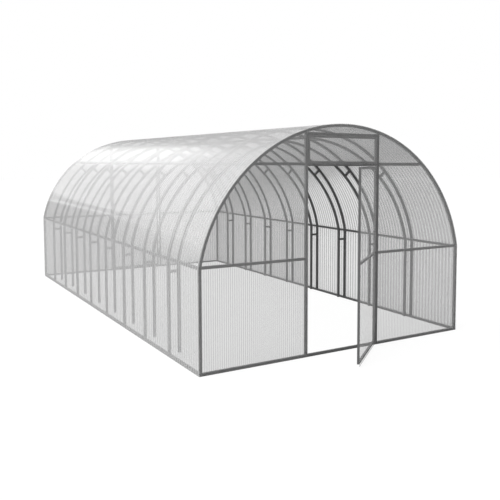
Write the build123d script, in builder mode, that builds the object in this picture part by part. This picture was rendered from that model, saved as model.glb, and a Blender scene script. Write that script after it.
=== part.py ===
from build123d import *
from math import asin, cos, degrees, radians, sin, sqrt
import os

# A tunnel greenhouse of square steel tube clad with clear twin-wall sheet.
# Upright walls kink at the eaves into an arched roof, and the sheets bend over
# it from the ground on one side to the ground on the other.
# +Z is up and +Y runs from the front gable to the rear one.
# The origin is under the middle of the front sill.

# Overall sizes, over the sheets
width = 3000
length = 6000
ridge_height = 2170
eave_height = 921

# Stock: one tube for the building, a lighter one for the doors and vents
tube = 25
leaf_tube = 20
sheet_thickness = 4
sheet_seat = 0.3
sheet_joint = 2

# Double arches between the gables, counted from the front
arch_count = 8
end_bay_length = 696.5
arch_pitch = 662.5
inner_arch_offset = 98
wall_spacer_height = 797
roof_spacer_angle = 45
jointed_arches = (2, 5)

# Rails along the house. The gables' upper rails lie level with the purlins
eave_rail_drop = 4
eave_rail_cover = 1
purlin_height = 1791

# Gable frame
doorway_width = 800
doorway_shift = -15
mid_rail_height = 921
transom_height = 1785
crown_height = 102

# Vent over the door
vent_gap = 2
vent_sheet_lap = 12

# Doors
latch_gap = 5
hinge_gap = 16
door_foot_gap = 5
door_head_gap = 5
door_stand_off = 5
door_sheet_drop = 20
door_sheet_lap = 10
front_door_angle = 41.5
rear_door_angle = 0

# Butt hinges
hinge_heights = (250, 1550)
knuckle_radius = 7
knuckle_length = 20
knuckle_count = 3
knuckle_slack = 0.3
pin_radius = 3
pin_clearance = 0.05
leaf_thickness = 2
leaf_width = 18
leaf_relief = 0.5

# Worked out from the sizes above
half_width = width / 2
roof_rise = ridge_height - eave_height
roof_radius = (half_width**2 + roof_rise**2) / (2 * roof_rise)
arc_height = ridge_height - roof_radius
frame_inset = sheet_thickness + sheet_seat
inner_inset = frame_inset + inner_arch_offset
rail_inset = frame_inset + tube
gable_depth = tube / 2 + sheet_thickness
rear_line = length - 2 * gable_depth
rail_start = tube / 2
top_bar_height = ridge_height - crown_height
rail_length = rear_line - tube
doorway_left = doorway_shift - doorway_width / 2
doorway_right = doorway_shift + doorway_width / 2
door_foot = tube + door_foot_gap
door_head = transom_height - tube / 2 - door_head_gap
door_width = doorway_width - latch_gap - hinge_gap
vent_foot = transom_height + tube / 2
vent_head = top_bar_height - tube / 2 - vent_gap

os.makedirs("parts", exist_ok=True)


def save(piece, name):
    piece.part.label = name
    export_step(piece.part, f"parts/{name}.step")


def arc_z(inset, x):
    """Height of the roof arc at a distance from the middle."""
    return arc_height + sqrt((roof_radius - inset) ** 2 - x**2)


def section(y):
    """A plane across the house, with +X to the right and +Z up."""
    return Plane.XZ.offset(-y)


def hoop_face(inset, foot, mode=Mode.ADD):
    """The whole cross section inside one hoop, down to its foot."""
    wall = half_width - inset
    kink = arc_z(inset, wall)
    with BuildLine() as outline:
        Polyline((-wall, kink), (-wall, foot), (wall, foot), (wall, kink))
        ThreePointArc((-wall, kink), (0, arc_z(inset, 0)), (wall, kink))
    make_face(outline.edges(), mode=mode)


def hoop_band(inset, depth, foot):
    """Two walls and the arch over them, of even depth."""
    hoop_face(inset, foot)
    hoop_face(inset + depth, foot, mode=Mode.SUBTRACT)


def outer_edge(inset):
    """Keeps only what lies inside a hoop, to cope a rail to the arch."""
    hoop_face(inset, 0, mode=Mode.INTERSECT)


# Base rails along the sides, between the end arches
for side, sign in (("left", -1), ("right", 1)):
    with BuildPart() as base_rail:
        with BuildSketch(section(rail_start)):
            with Locations((sign * (half_width - frame_inset - tube / 2), tube / 2)):
                Rectangle(tube, tube)
        extrude(amount=-rail_length)
    save(base_rail, f"{side}_base_rail")

# Eave rails, let into the outer hoops at the kink
kink_inset = frame_inset + tube / 2
eave_rail_z = arc_z(kink_inset, half_width - kink_inset) - eave_rail_drop
eave_rail_rise = eave_rail_z + tube / 2 - arc_height
eave_rail_face = sqrt((roof_radius - frame_inset) ** 2 - eave_rail_rise**2) - eave_rail_cover
eave_rail_x = eave_rail_face - tube / 2
for side, sign in (("left", -1), ("right", 1)):
    with BuildPart() as eave_rail:
        with BuildSketch(section(rail_start)):
            with Locations((sign * eave_rail_x, eave_rail_z)):
                Rectangle(tube, tube)
        extrude(amount=-rail_length)
    save(eave_rail, f"{side}_eave_rail")

# Purlins, square to the roof and laid inside the outer hoops
purlin_radius = roof_radius - rail_inset - tube / 2 - sheet_seat
purlin_x = sqrt(purlin_radius**2 - (purlin_height - arc_height) ** 2)
purlin_tilt = degrees(asin(purlin_x / purlin_radius))
for side, sign in (("left", -1), ("right", 1)):
    with BuildPart() as purlin:
        with BuildSketch(section(rail_start)):
            with Locations(Location((sign * purlin_x, purlin_height, 0), (0, 0, -sign * purlin_tilt))):
                Rectangle(tube, tube)
        extrude(amount=-rail_length)
    save(purlin, f"{side}_purlin")

# End arches, one hoop each, standing on the ground
for end, y in (("front", 0), ("rear", rear_line)):
    with BuildPart() as end_arch:
        with BuildSketch(section(y)):
            hoop_band(frame_inset, tube, 0)
        extrude(amount=tube / 2, both=True)
    save(end_arch, f"{end}_arch")

# Double arches: an outer hoop on the base rails, an inner hoop cut off at the
# same level, and four short spacers between them
spacer_reach = inner_arch_offset - tube
spacer_inset = frame_inset + tube + spacer_reach / 2
spacer_wall_x = half_width - spacer_inset
spacer_radius = roof_radius - spacer_inset
spacer_roof_x = spacer_radius * sin(radians(roof_spacer_angle))
spacer_roof_z = arc_height + spacer_radius * cos(radians(roof_spacer_angle))
for number in range(arch_count):
    arch_y = end_bay_length + number * arch_pitch
    with BuildPart() as double_arch:
        with BuildSketch(section(arch_y)):
            hoop_band(frame_inset, tube, tube)
            with Locations((-eave_rail_x, eave_rail_z), (eave_rail_x, eave_rail_z)):
                Rectangle(tube, tube, mode=Mode.SUBTRACT)
        with BuildSketch(section(arch_y)):
            hoop_band(inner_inset, tube, tube)
        with BuildSketch(section(arch_y)):
            with Locations((-spacer_wall_x, wall_spacer_height), (spacer_wall_x, wall_spacer_height)):
                Rectangle(spacer_reach + 1, tube)
            for sign in (-1, 1):
                tilt = sign * (90 - roof_spacer_angle)
                with Locations(Location((sign * spacer_roof_x, spacer_roof_z, 0), (0, 0, tilt))):
                    Rectangle(spacer_reach + 1, tube)
        extrude(amount=tube / 2, both=True)
    save(double_arch, f"double_arch_{number + 1}")

# Roof and side sheets, three bent lengths that meet over double arches
joints = [end_bay_length + n * arch_pitch for n in jointed_arches]
sheet_edges = [-gable_depth] + joints + [rear_line + gable_depth]
for number, name in enumerate(("front", "middle", "rear")):
    start = sheet_edges[number] + (sheet_joint / 2 if number > 0 else 0)
    end = sheet_edges[number + 1] - (sheet_joint / 2 if number < 2 else 0)
    with BuildPart() as cover:
        with BuildSketch(section(start)):
            hoop_band(0, sheet_thickness, 0)
        extrude(amount=-(end - start))
    save(cover, f"{name}_cover_sheet")


def build_gable(end, line, out, door_angle):
    """One gable. out is 1 where it faces -Y and -1 where it faces +Y."""
    mid = section(line)
    face = mid.offset(out * tube / 2)
    inside_left = -(half_width - frame_inset - tube)

    # The sill, between the feet of the end arch
    with BuildPart() as sill:
        with BuildSketch(mid):
            with Locations((0, tube / 2)):
                Rectangle(-2 * inside_left, tube)
        extrude(amount=tube / 2, both=True)
    save(sill, f"{end}_base_rail")

    # Two door posts from the sill to the arch, coped to its curve
    with BuildPart() as posts:
        with BuildSketch(mid):
            for x in (doorway_left - tube / 2, doorway_right + tube / 2):
                with Locations((x, (tube + ridge_height) / 2)):
                    Rectangle(tube, ridge_height - tube)
            outer_edge(frame_inset + tube)
        extrude(amount=tube / 2, both=True)
    save(posts, f"{end}_door_posts")

    # Rails between the arch and the posts, and two bars between the posts
    with BuildPart() as rails:
        with BuildSketch(mid):
            left_span = doorway_left - tube + half_width
            right_span = half_width - doorway_right - tube
            for z in (mid_rail_height, purlin_height):
                with Locations((-half_width + left_span / 2, z)):
                    Rectangle(left_span, tube)
                with Locations((half_width - right_span / 2, z)):
                    Rectangle(right_span, tube)
            outer_edge(frame_inset + tube)
            for z in (transom_height, top_bar_height):
                with Locations((doorway_shift, z)):
                    Rectangle(doorway_width, tube)
        extrude(amount=tube / 2, both=True)
    save(rails, f"{end}_gable_rails")

    # Sheet to the left of the doorway, over its post
    left_edge = doorway_left
    right_edge = doorway_right + tube
    tall = ridge_height
    with BuildPart() as left_sheet:
        with BuildSketch(face):
            with Locations((left_edge - half_width / 2, tall / 2)):
                Rectangle(half_width, tall)
            outer_edge(frame_inset)
        extrude(amount=out * sheet_thickness)
    save(left_sheet, f"{end}_left_gable_sheet")

    # Sheet to the right of the doorway, up to its post
    with BuildPart() as right_sheet:
        with BuildSketch(face):
            with Locations((right_edge + half_width / 2, tall / 2)):
                Rectangle(half_width, tall)
            outer_edge(frame_inset)
        extrude(amount=out * sheet_thickness)
    save(right_sheet, f"{end}_right_gable_sheet")

    # Small sheet between the top bar and the crown of the arch
    crown_foot = top_bar_height - tube / 2
    crown_left = left_edge + sheet_joint / 2
    crown_right = right_edge - sheet_joint / 2
    with BuildPart() as crown_sheet:
        with BuildSketch(face):
            with Locations(((crown_left + crown_right) / 2, (crown_foot + tall) / 2)):
                Rectangle(crown_right - crown_left, tall - crown_foot)
            outer_edge(frame_inset)
        extrude(amount=out * sheet_thickness)
    save(crown_sheet, f"{end}_crown_sheet")

    # Vent over the door: a frame flush with the gable's face, and its sheet
    vent_width = doorway_width - 2 * vent_gap
    vent_height = vent_head - vent_foot
    with BuildPart() as vent_frame:
        with BuildSketch(face):
            with Locations((doorway_shift, vent_foot + vent_height / 2)):
                Rectangle(vent_width, vent_height)
                Rectangle(vent_width - 2 * leaf_tube, vent_height - 2 * leaf_tube, mode=Mode.SUBTRACT)
        extrude(amount=-out * leaf_tube)
    save(vent_frame, f"{end}_vent_frame")

    vent_sheet_height = vent_height + vent_sheet_lap
    with BuildPart() as vent_sheet:
        with BuildSketch(face):
            with Locations((doorway_shift, vent_head - vent_sheet_height / 2)):
                Rectangle(vent_width, vent_sheet_height)
        extrude(amount=out * sheet_thickness)
    save(vent_sheet, f"{end}_vent_sheet")

    # The door hangs in a plane through its hinge pins. Along the plane x runs
    # from the pins to the latch side, and z faces +Y while the door is shut.
    hinge_x = doorway_right - hinge_gap / 2
    hinge_y = line - out * (tube / 2 + door_stand_off)
    turn = radians(door_angle)
    door_plane = Plane(
        origin=(hinge_x, hinge_y, 0),
        x_dir=(-cos(turn), -out * sin(turn), 0),
        z_dir=(-out * sin(turn), cos(turn), 0),
    )
    shut_plane = Plane(origin=(hinge_x, hinge_y, 0), x_dir=(-1, 0, 0), z_dir=(0, 1, 0))
    door_height = door_head - door_foot
    door_mid = hinge_gap / 2 + door_width / 2

    # Door frame, with a rail level with the gable's
    with BuildPart() as door_frame:
        with BuildSketch(door_plane):
            with Locations((door_mid, door_foot + door_height / 2)):
                Rectangle(door_width, door_height)
                Rectangle(door_width - 2 * leaf_tube, door_height - 2 * leaf_tube, mode=Mode.SUBTRACT)
            with Locations((door_mid, mid_rail_height)):
                Rectangle(door_width - leaf_tube, leaf_tube)
        extrude(amount=out * leaf_tube)
    save(door_frame, f"{end}_door_frame")

    # Door sheet on the outer face, lapping the sill and the transom
    sheet_foot = door_foot - door_sheet_drop
    sheet_head = door_head + door_sheet_lap
    with BuildPart() as door_sheet:
        with BuildSketch(door_plane):
            with Locations((door_mid, (sheet_foot + sheet_head) / 2)):
                Rectangle(door_width, sheet_head - sheet_foot)
        extrude(amount=-out * sheet_thickness)
    save(door_sheet, f"{end}_door_sheet")

    # Butt hinges in the gap between stile and post
    hinge_length = knuckle_count * knuckle_length
    relief = knuckle_radius + leaf_relief
    leaf_x = hinge_gap / 2 - leaf_thickness / 2
    with BuildPart() as post_hinges:
        for height in hinge_heights:
            foot = height - hinge_length / 2
            level = Plane(origin=(hinge_x, hinge_y, foot), x_dir=(-1, 0, 0), z_dir=(0, 0, 1))
            with BuildSketch(level):
                Circle(pin_radius)
            extrude(amount=hinge_length)
            for rise in (0, 2 * knuckle_length):
                with BuildSketch(level.offset(rise)):
                    Circle(knuckle_radius)
                    with Locations((-leaf_x, -out * relief / 2)):
                        Rectangle(leaf_thickness, relief)
                extrude(amount=knuckle_length)
            with BuildSketch(level):
                with Locations((-leaf_x, -out * (relief + leaf_width) / 2)):
                    Rectangle(leaf_thickness, leaf_width - relief)
            extrude(amount=hinge_length)
    save(post_hinges, f"{end}_post_hinges")

    with BuildPart() as door_hinges:
        for height in hinge_heights:
            foot = height - hinge_length / 2
            level = Plane(
                origin=(hinge_x, hinge_y, foot),
                x_dir=(-cos(turn), -out * sin(turn), 0),
                z_dir=(0, 0, 1),
            )
            middle = level.offset(knuckle_length + knuckle_slack)
            with BuildSketch(middle):
                Circle(knuckle_radius)
                with Locations((leaf_x, -out * relief / 2)):
                    Rectangle(leaf_thickness, relief)
                Circle(pin_radius + pin_clearance, mode=Mode.SUBTRACT)
            extrude(amount=knuckle_length - 2 * knuckle_slack)
            with BuildSketch(level):
                with Locations((leaf_x, -out * (relief + leaf_width) / 2)):
                    Rectangle(leaf_thickness, leaf_width - relief)
            extrude(amount=hinge_length)
    save(door_hinges, f"{end}_door_hinges")


build_gable("front", 0, 1, front_door_angle)
build_gable("rear", rear_line, -1, rear_door_angle)
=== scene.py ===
import math

import bpy
from mathutils import Euler, Matrix, Vector

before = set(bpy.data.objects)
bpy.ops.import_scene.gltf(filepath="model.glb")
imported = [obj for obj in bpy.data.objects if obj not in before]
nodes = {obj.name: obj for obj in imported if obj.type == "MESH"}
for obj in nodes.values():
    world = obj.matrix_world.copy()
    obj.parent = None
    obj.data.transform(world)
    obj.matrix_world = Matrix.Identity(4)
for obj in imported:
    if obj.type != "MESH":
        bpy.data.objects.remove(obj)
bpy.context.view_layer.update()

# Flutes of the twin-wall sheet in metres, and how far open the front door rests
RIB_PITCH = 0.0102
FRONT_DOOR_ANGLE = math.radians(41.5)

# How each kind of sheet looks: the step and strength of its broader stripes, the share of light
# that each face keeps, how much more it keeps at a grazing angle, and its roughness
GABLE_LOOK = {"band": 2 * RIB_PITCH, "depth": 0.055, "haze": 0.28, "glaze": 0.0, "gloss": (0.16, 0.26)}
COVER_LOOK = {"band": 0.0515, "depth": 0.10, "haze": 0.22, "glaze": 0.26, "gloss": (0.05, 0.08)}

# At a grazing angle: where a step of the added share starts and ends, on a scale of 0 facing the
# eye to 1 edge-on, and how much of the whole it is
GLAZE_STEPS = ((0.25, 0.45, 0.3), (0.52, 0.63, 0.7))
WEB_SHARE = 0.08
CLOUDINESS = 0.03

# Lamps that glossy surfaces see: direction, outer and inner radius in degrees, and strength
PANEL = ((-0.132, 0.942, 0.309), 27, 8, 0.68)
SOFT_BOX = ((0.116, 0.944, 0.309), 8, 3, 0.9)
SIDE_BOX = ((-0.401, 0.905, 0.142), 6, 1.5, 0.6)

# The studio that glossy surfaces see. A height is the sine of the angle above level
HORIZON = (0.120, 0.142)
HORIZON_BEND = (0.19, 0.27, 0.035)
LOW_STRIP = (0.15, 0.19)
LOW_STRIP_GLOW = 0.15
STUDIO_GLOW = 0.35
DARK_GLOW = 0.28
TUBE_LOWER_EDGE = (0.092, 0.100)
TUBE_UPPER_EDGE = (0.110, 0.118)
TUBE_GLOW = 0.9

# Floor, world and key light
FLOOR_SIDE = 120
FLOOR_MIDDLE = (0, 3, -0.001)
FLOOR_GLOW = 0.92
DIM_WORLD = 0.75
KEY_POWER = 3.7
KEY_WIDTH = math.radians(40)
KEY_TILT = Euler((math.radians(-6), math.radians(-25), 0))

# Camera, worked out from the corners of the building in the photograph
IMAGE_SIDE = 500
CAMERA_PLACE = Vector((-3.7335, -5.1476, 1.8023))
CAMERA_YAW = 0.5862
CAMERA_PITCH = 0.0751
CAMERA_ROLL = 0.0044
FOCAL_PIXELS = 669.85
CENTRE_PIXEL = (316.29, 213.18)
SENSOR_WIDTH = 36
VIEW_DEPTH = 300


class Recipe:
    """A material or world in the making, with short ways to add nodes and link them."""

    def __init__(self, owner):
        self.owner = owner
        self.owner.use_nodes = True
        self.tree = self.owner.node_tree
        self.tree.nodes.clear()

    def node(self, kind, settings=None, **sockets):
        """Adds a node. Each socket is named with _ for a space, and takes a value or a link."""
        made = self.tree.nodes.new(kind)
        for key, value in (settings or {}).items():
            setattr(made, key, value)
        for key, value in sockets.items():
            self.put(made.inputs[key.replace("_", " ")], value)
        return made

    def put(self, socket, value):
        if isinstance(value, bpy.types.NodeSocket):
            self.tree.links.new(value, socket)
        else:
            socket.default_value = value

    def math(self, operation, *values):
        made = self.tree.nodes.new("ShaderNodeMath")
        made.operation = operation
        for socket, value in zip(made.inputs, values):
            self.put(socket, value)
        return made.outputs[0]

    def place(self):
        """Where a point lies on the piece, in metres."""
        return self.node("ShaderNodeTexCoord").outputs["Object"]

    def noise(self, scale, detail):
        made = self.node("ShaderNodeTexNoise", Scale=scale, Detail=detail)
        self.put(made.inputs["Vector"], self.place())
        return made.outputs["Fac"]

    def spread(self, value, low, high):
        """Takes a value of 0 to 1 to low to high."""
        made = self.node("ShaderNodeMapRange")
        for socket, number in zip(("Value", "To Min", "To Max"), (value, low, high)):
            self.put(made.inputs[socket], number)
        return made.outputs["Result"]

    def ramp(self, value, start, end, height):
        """Climbs smoothly from 0 to height between start and end."""
        made = self.node("ShaderNodeMapRange", {"interpolation_type": "SMOOTHSTEP"})
        for socket, number in zip(("Value", "From Min", "From Max", "To Max"), (value, start, end, height)):
            self.put(made.inputs[socket], number)
        return made.outputs["Result"]

    def dot(self, vector, other):
        made = self.node("ShaderNodeVectorMath", {"operation": "DOT_PRODUCT"})
        self.put(made.inputs[0], vector)
        self.put(made.inputs[1], other)
        return made.outputs["Value"]

    def blend(self, share, first, second):
        """A colour between two others."""
        made = self.node("ShaderNodeMix", {"data_type": "RGBA"})
        colours = [s for s in made.inputs if s.type == "RGBA"]
        self.put(made.inputs["Factor"], share)
        self.put(colours[0], first)
        self.put(colours[1], second)
        return made.outputs["Result"]

    def finish(self, shader, kind="ShaderNodeOutputMaterial"):
        """Links the shader to the output, and gives the finished material or world."""
        output = self.node(kind)
        self.tree.links.new(shader, output.inputs["Surface"])
        return self.owner


def new_material(name):
    return Recipe(bpy.data.materials.new(name))


def grey(level, tint=0.0):
    """A neutral colour, cooler with tint."""
    return (level, level * (1 + tint / 2), level * (1 + tint), 1.0)


def painted_steel():
    """Satin grey paint, slightly blotchy, with a fine peel, rubbed paler along rounded edges."""
    mix = new_material("satin_grey_paint")
    blotches = mix.noise(scale=9.0, detail=4.0)
    grain = mix.noise(scale=420.0, detail=3.0)
    scuffs = mix.noise(scale=35.0, detail=4.0)
    tone = mix.math("ADD", mix.math("MULTIPLY", blotches, 0.7), mix.math("MULTIPLY", grain, 0.3))
    rounded = mix.node("ShaderNodeBevel", {"samples": 4}, Radius=0.002).outputs["Normal"]
    flat = mix.node("ShaderNodeNewGeometry").outputs["Normal"]
    lean = mix.math("SUBTRACT", 1.0, mix.dot(rounded, flat))
    edge = mix.ramp(lean, start=0.02, end=0.25, height=1.0)
    rubbed = mix.math("MULTIPLY", edge, mix.ramp(scuffs, start=0.45, end=0.6, height=0.7))
    paint = mix.blend(tone, grey(0.095), grey(0.13, 0.02))
    colour = mix.blend(rubbed, paint, grey(0.24))
    peel = mix.node("ShaderNodeBump", Strength=0.25, Distance=0.0003, Height=grain, Normal=rounded)
    shader = mix.node(
        "ShaderNodeBsdfPrincipled",
        Base_Color=colour,
        Roughness=mix.spread(blotches, low=0.38, high=0.56),
        Normal=peel.outputs[0],
    )
    return mix.finish(shader.outputs[0])


def zinc():
    """Dull zinc plating for hinges."""
    mix = new_material("dull_zinc")
    grain = mix.noise(scale=260.0, detail=4.0)
    colour = mix.blend(grain, grey(0.16), grey(0.30, 0.03))
    bump = mix.node("ShaderNodeBump", Strength=0.2, Distance=0.0002, Height=grain)
    shader = mix.node(
        "ShaderNodeBsdfPrincipled",
        Base_Color=colour,
        Metallic=0.75,
        Roughness=mix.spread(grain, low=0.35, high=0.6),
        Normal=bump.outputs[0],
    )
    return mix.finish(shader.outputs[0])


def clear_sheet(name, across, band, depth, haze, glaze, gloss):
    """Clear twin-wall sheet, with across square to its flutes and the rest as in GABLE_LOOK."""
    mix = new_material(name)
    along = mix.dot(mix.place(), across)

    # One web each pitch, seen as a fine line
    phase = mix.math("FRACT", mix.math("DIVIDE", along, RIB_PITCH))
    off_centre = mix.math("MULTIPLY", mix.math("ABSOLUTE", mix.math("SUBTRACT", phase, 0.5)), 2.0)
    sharp_line = mix.math("MULTIPLY", mix.math("POWER", off_centre, 8.0), 1.6)
    web = mix.math("SMOOTH_MIN", 1.0, sharp_line, 0.2)

    # Broader stripes, which fine flutes leave at a distance, and an uneven cloudiness
    turn = mix.math("DIVIDE", mix.math("MULTIPLY", along, math.tau), band)
    stripe = mix.math("COSINE", turn)
    cloud = mix.noise(scale=1.3, detail=2.0)

    shares = [
        mix.math("MULTIPLY", web, WEB_SHARE),
        mix.math("MULTIPLY", stripe, depth),
        mix.spread(cloud, haze - CLOUDINESS, haze + CLOUDINESS),
    ]
    if glaze:
        facing = mix.node("ShaderNodeLayerWeight").outputs["Facing"]
        for start, end, part in GLAZE_STEPS:
            shares.append(mix.ramp(facing, start, end, part * glaze))
    kept = shares[0]
    for share in shares[1:]:
        kept = mix.math("ADD", kept, share)

    swell = mix.math("COSINE", mix.math("MULTIPLY", phase, math.tau))
    flutes = mix.node("ShaderNodeBump", Strength=0.15, Distance=0.0002, Height=swell)
    shader = mix.node(
        "ShaderNodeBsdfPrincipled",
        Base_Color=mix.blend(web, grey(0.50), grey(0.40)),
        Roughness=mix.spread(cloud, *gloss),
        IOR=1.5,
        Specular_IOR_Level=0.5,
        Alpha=kept,
        Normal=flutes.outputs[0],
    )
    return mix.finish(shader.outputs[0])


def finish_of(name):
    """The material for a node, by what its name ends with."""
    if name == "front_door_sheet":
        return front_door_sheet
    for ending, material in (("cover_sheet", cover_sheet), ("sheet", gable_sheet), ("hinges", plating)):
        if name.endswith(ending):
            return material
    return steel


def any_ray(mix, *kinds):
    """1 for rays of any of these kinds."""
    path = mix.node("ShaderNodeLightPath")
    total = path.outputs[kinds[0]]
    for kind in kinds[1:]:
        total = mix.math("MAXIMUM", total, path.outputs[kind])
    return total


def studio_floor():
    """White to the eye, with a faint shadow, and a mild bounce on the object."""
    bpy.ops.mesh.primitive_plane_add(size=FLOOR_SIDE, location=FLOOR_MIDDLE)
    floor = bpy.context.object
    floor.name = "studio_floor"
    paving = new_material("studio_white")
    seen = any_ray(paving, "Is Camera Ray", "Is Transmission Ray")
    matt = paving.node("ShaderNodeBsdfDiffuse", Color=paving.blend(seen, grey(0.42), grey(0.9)))
    glow = paving.node("ShaderNodeEmission", Color=grey(1.0), Strength=1.0)
    surface = paving.node("ShaderNodeMixShader", Fac=paving.math("MULTIPLY", seen, FLOOR_GLOW))
    paving.put(surface.inputs[1], matt.outputs[0])
    paving.put(surface.inputs[2], glow.outputs[0])
    floor.data.materials.append(paving.finish(surface.outputs[0]))


def round_lamp(sky, toward, lamp):
    """A soft-edged round patch of light."""
    direction, outer, inner, strength = lamp
    outer_edge = math.cos(math.radians(outer))
    inner_edge = math.cos(math.radians(inner))
    return sky.ramp(sky.dot(toward, direction), outer_edge, inner_edge, strength)


def studio_world():
    """White behind the object, and dimmer as light. Glossy surfaces see a pale studio over a dark
    horizon, a long tube lamp just under it, and round lamps over and beside the rear gable."""
    sky = Recipe(bpy.data.worlds.new("studio"))
    toward = sky.node("ShaderNodeTexCoord").outputs["Generated"]
    rise = sky.dot(toward, (0, 0, 1))

    # The horizon lies a little higher toward the left
    leftward = sky.dot(toward, (-1, 0, 0))
    bent_rise = sky.math("SUBTRACT", rise, sky.ramp(leftward, *HORIZON_BEND))
    horizon = sky.ramp(bent_rise, *HORIZON, 1.0)

    low_strip = sky.math("SUBTRACT", 1.0, sky.ramp(rise, *LOW_STRIP, 1.0))
    high_lamps = sky.math("MULTIPLY_ADD", low_strip, LOW_STRIP_GLOW, round_lamp(sky, toward, PANEL))
    soft_glow = sky.math("ADD", round_lamp(sky, toward, SOFT_BOX), STUDIO_GLOW)
    above = sky.math("ADD", high_lamps, soft_glow)

    over_lower_edge = sky.ramp(bent_rise, *TUBE_LOWER_EDGE, TUBE_GLOW)
    over_upper_edge = sky.ramp(bent_rise, *TUBE_UPPER_EDGE, TUBE_GLOW)
    tube_lamp = sky.math("SUBTRACT", over_lower_edge, over_upper_edge)
    low_lamps = sky.math("ADD", tube_lamp, round_lamp(sky, toward, SIDE_BOX))

    mirrored = sky.math("ADD", sky.math("MULTIPLY_ADD", above, horizon, DARK_GLOW), low_lamps)
    plain = sky.spread(any_ray(sky, "Is Camera Ray", "Is Transmission Ray"), DIM_WORLD, 1.0)
    glossy = any_ray(sky, "Is Glossy Ray")
    strength = sky.math("MULTIPLY_ADD", sky.math("SUBTRACT", mirrored, plain), glossy, plain)
    background = sky.node("ShaderNodeBackground", Color=grey(1.0), Strength=strength)
    return sky.finish(background.outputs[0], "ShaderNodeOutputWorld")


def key_light():
    """One broad soft source, high and a little to the left."""
    sun = bpy.data.objects.new("key", bpy.data.lights.new("key", "SUN"))
    sun.data.energy = KEY_POWER
    sun.data.angle = KEY_WIDTH
    sun.rotation_euler = KEY_TILT
    bpy.context.scene.collection.objects.link(sun)


def photo_camera():
    """A camera that stands, points and frames as the photograph's did."""
    data = bpy.data.cameras.new("camera")
    camera = bpy.data.objects.new("camera", data)
    bpy.context.scene.collection.objects.link(camera)
    forward = Vector((
        math.sin(CAMERA_YAW) * math.cos(CAMERA_PITCH),
        math.cos(CAMERA_YAW) * math.cos(CAMERA_PITCH),
        -math.sin(CAMERA_PITCH),
    ))
    level_right = Vector((math.cos(CAMERA_YAW), -math.sin(CAMERA_YAW), 0))
    level_up = level_right.cross(forward)
    right = math.cos(CAMERA_ROLL) * level_right + math.sin(CAMERA_ROLL) * level_up
    up = right.cross(forward)
    turn = Matrix((right, up, -forward)).transposed().to_4x4()
    camera.matrix_world = Matrix.Translation(CAMERA_PLACE) @ turn
    data.sensor_width = SENSOR_WIDTH
    data.lens = SENSOR_WIDTH * FOCAL_PIXELS / IMAGE_SIDE
    data.shift_x = (IMAGE_SIDE / 2 - CENTRE_PIXEL[0]) / IMAGE_SIDE
    data.shift_y = (CENTRE_PIXEL[1] - IMAGE_SIDE / 2) / IMAGE_SIDE
    data.clip_end = VIEW_DEPTH
    return camera


# Every node gets its finish
steel = painted_steel()
plating = zinc()
across_front_door = (math.cos(FRONT_DOOR_ANGLE), math.sin(FRONT_DOOR_ANGLE), 0)
gable_sheet = clear_sheet("gable_twin_wall", (1, 0, 0), **GABLE_LOOK)
cover_sheet = clear_sheet("cover_twin_wall", (0, 1, 0), **COVER_LOOK)
front_door_sheet = clear_sheet("front_door_twin_wall", across_front_door, **GABLE_LOOK)
for name in nodes:
    materials = nodes[name].data.materials
    materials.clear()
    materials.append(finish_of(name))

# The studio
studio_floor()
bpy.context.scene.world = studio_world()
key_light()
bpy.context.scene.camera = photo_camera()
bpy.context.scene.view_settings.view_transform = "Standard"
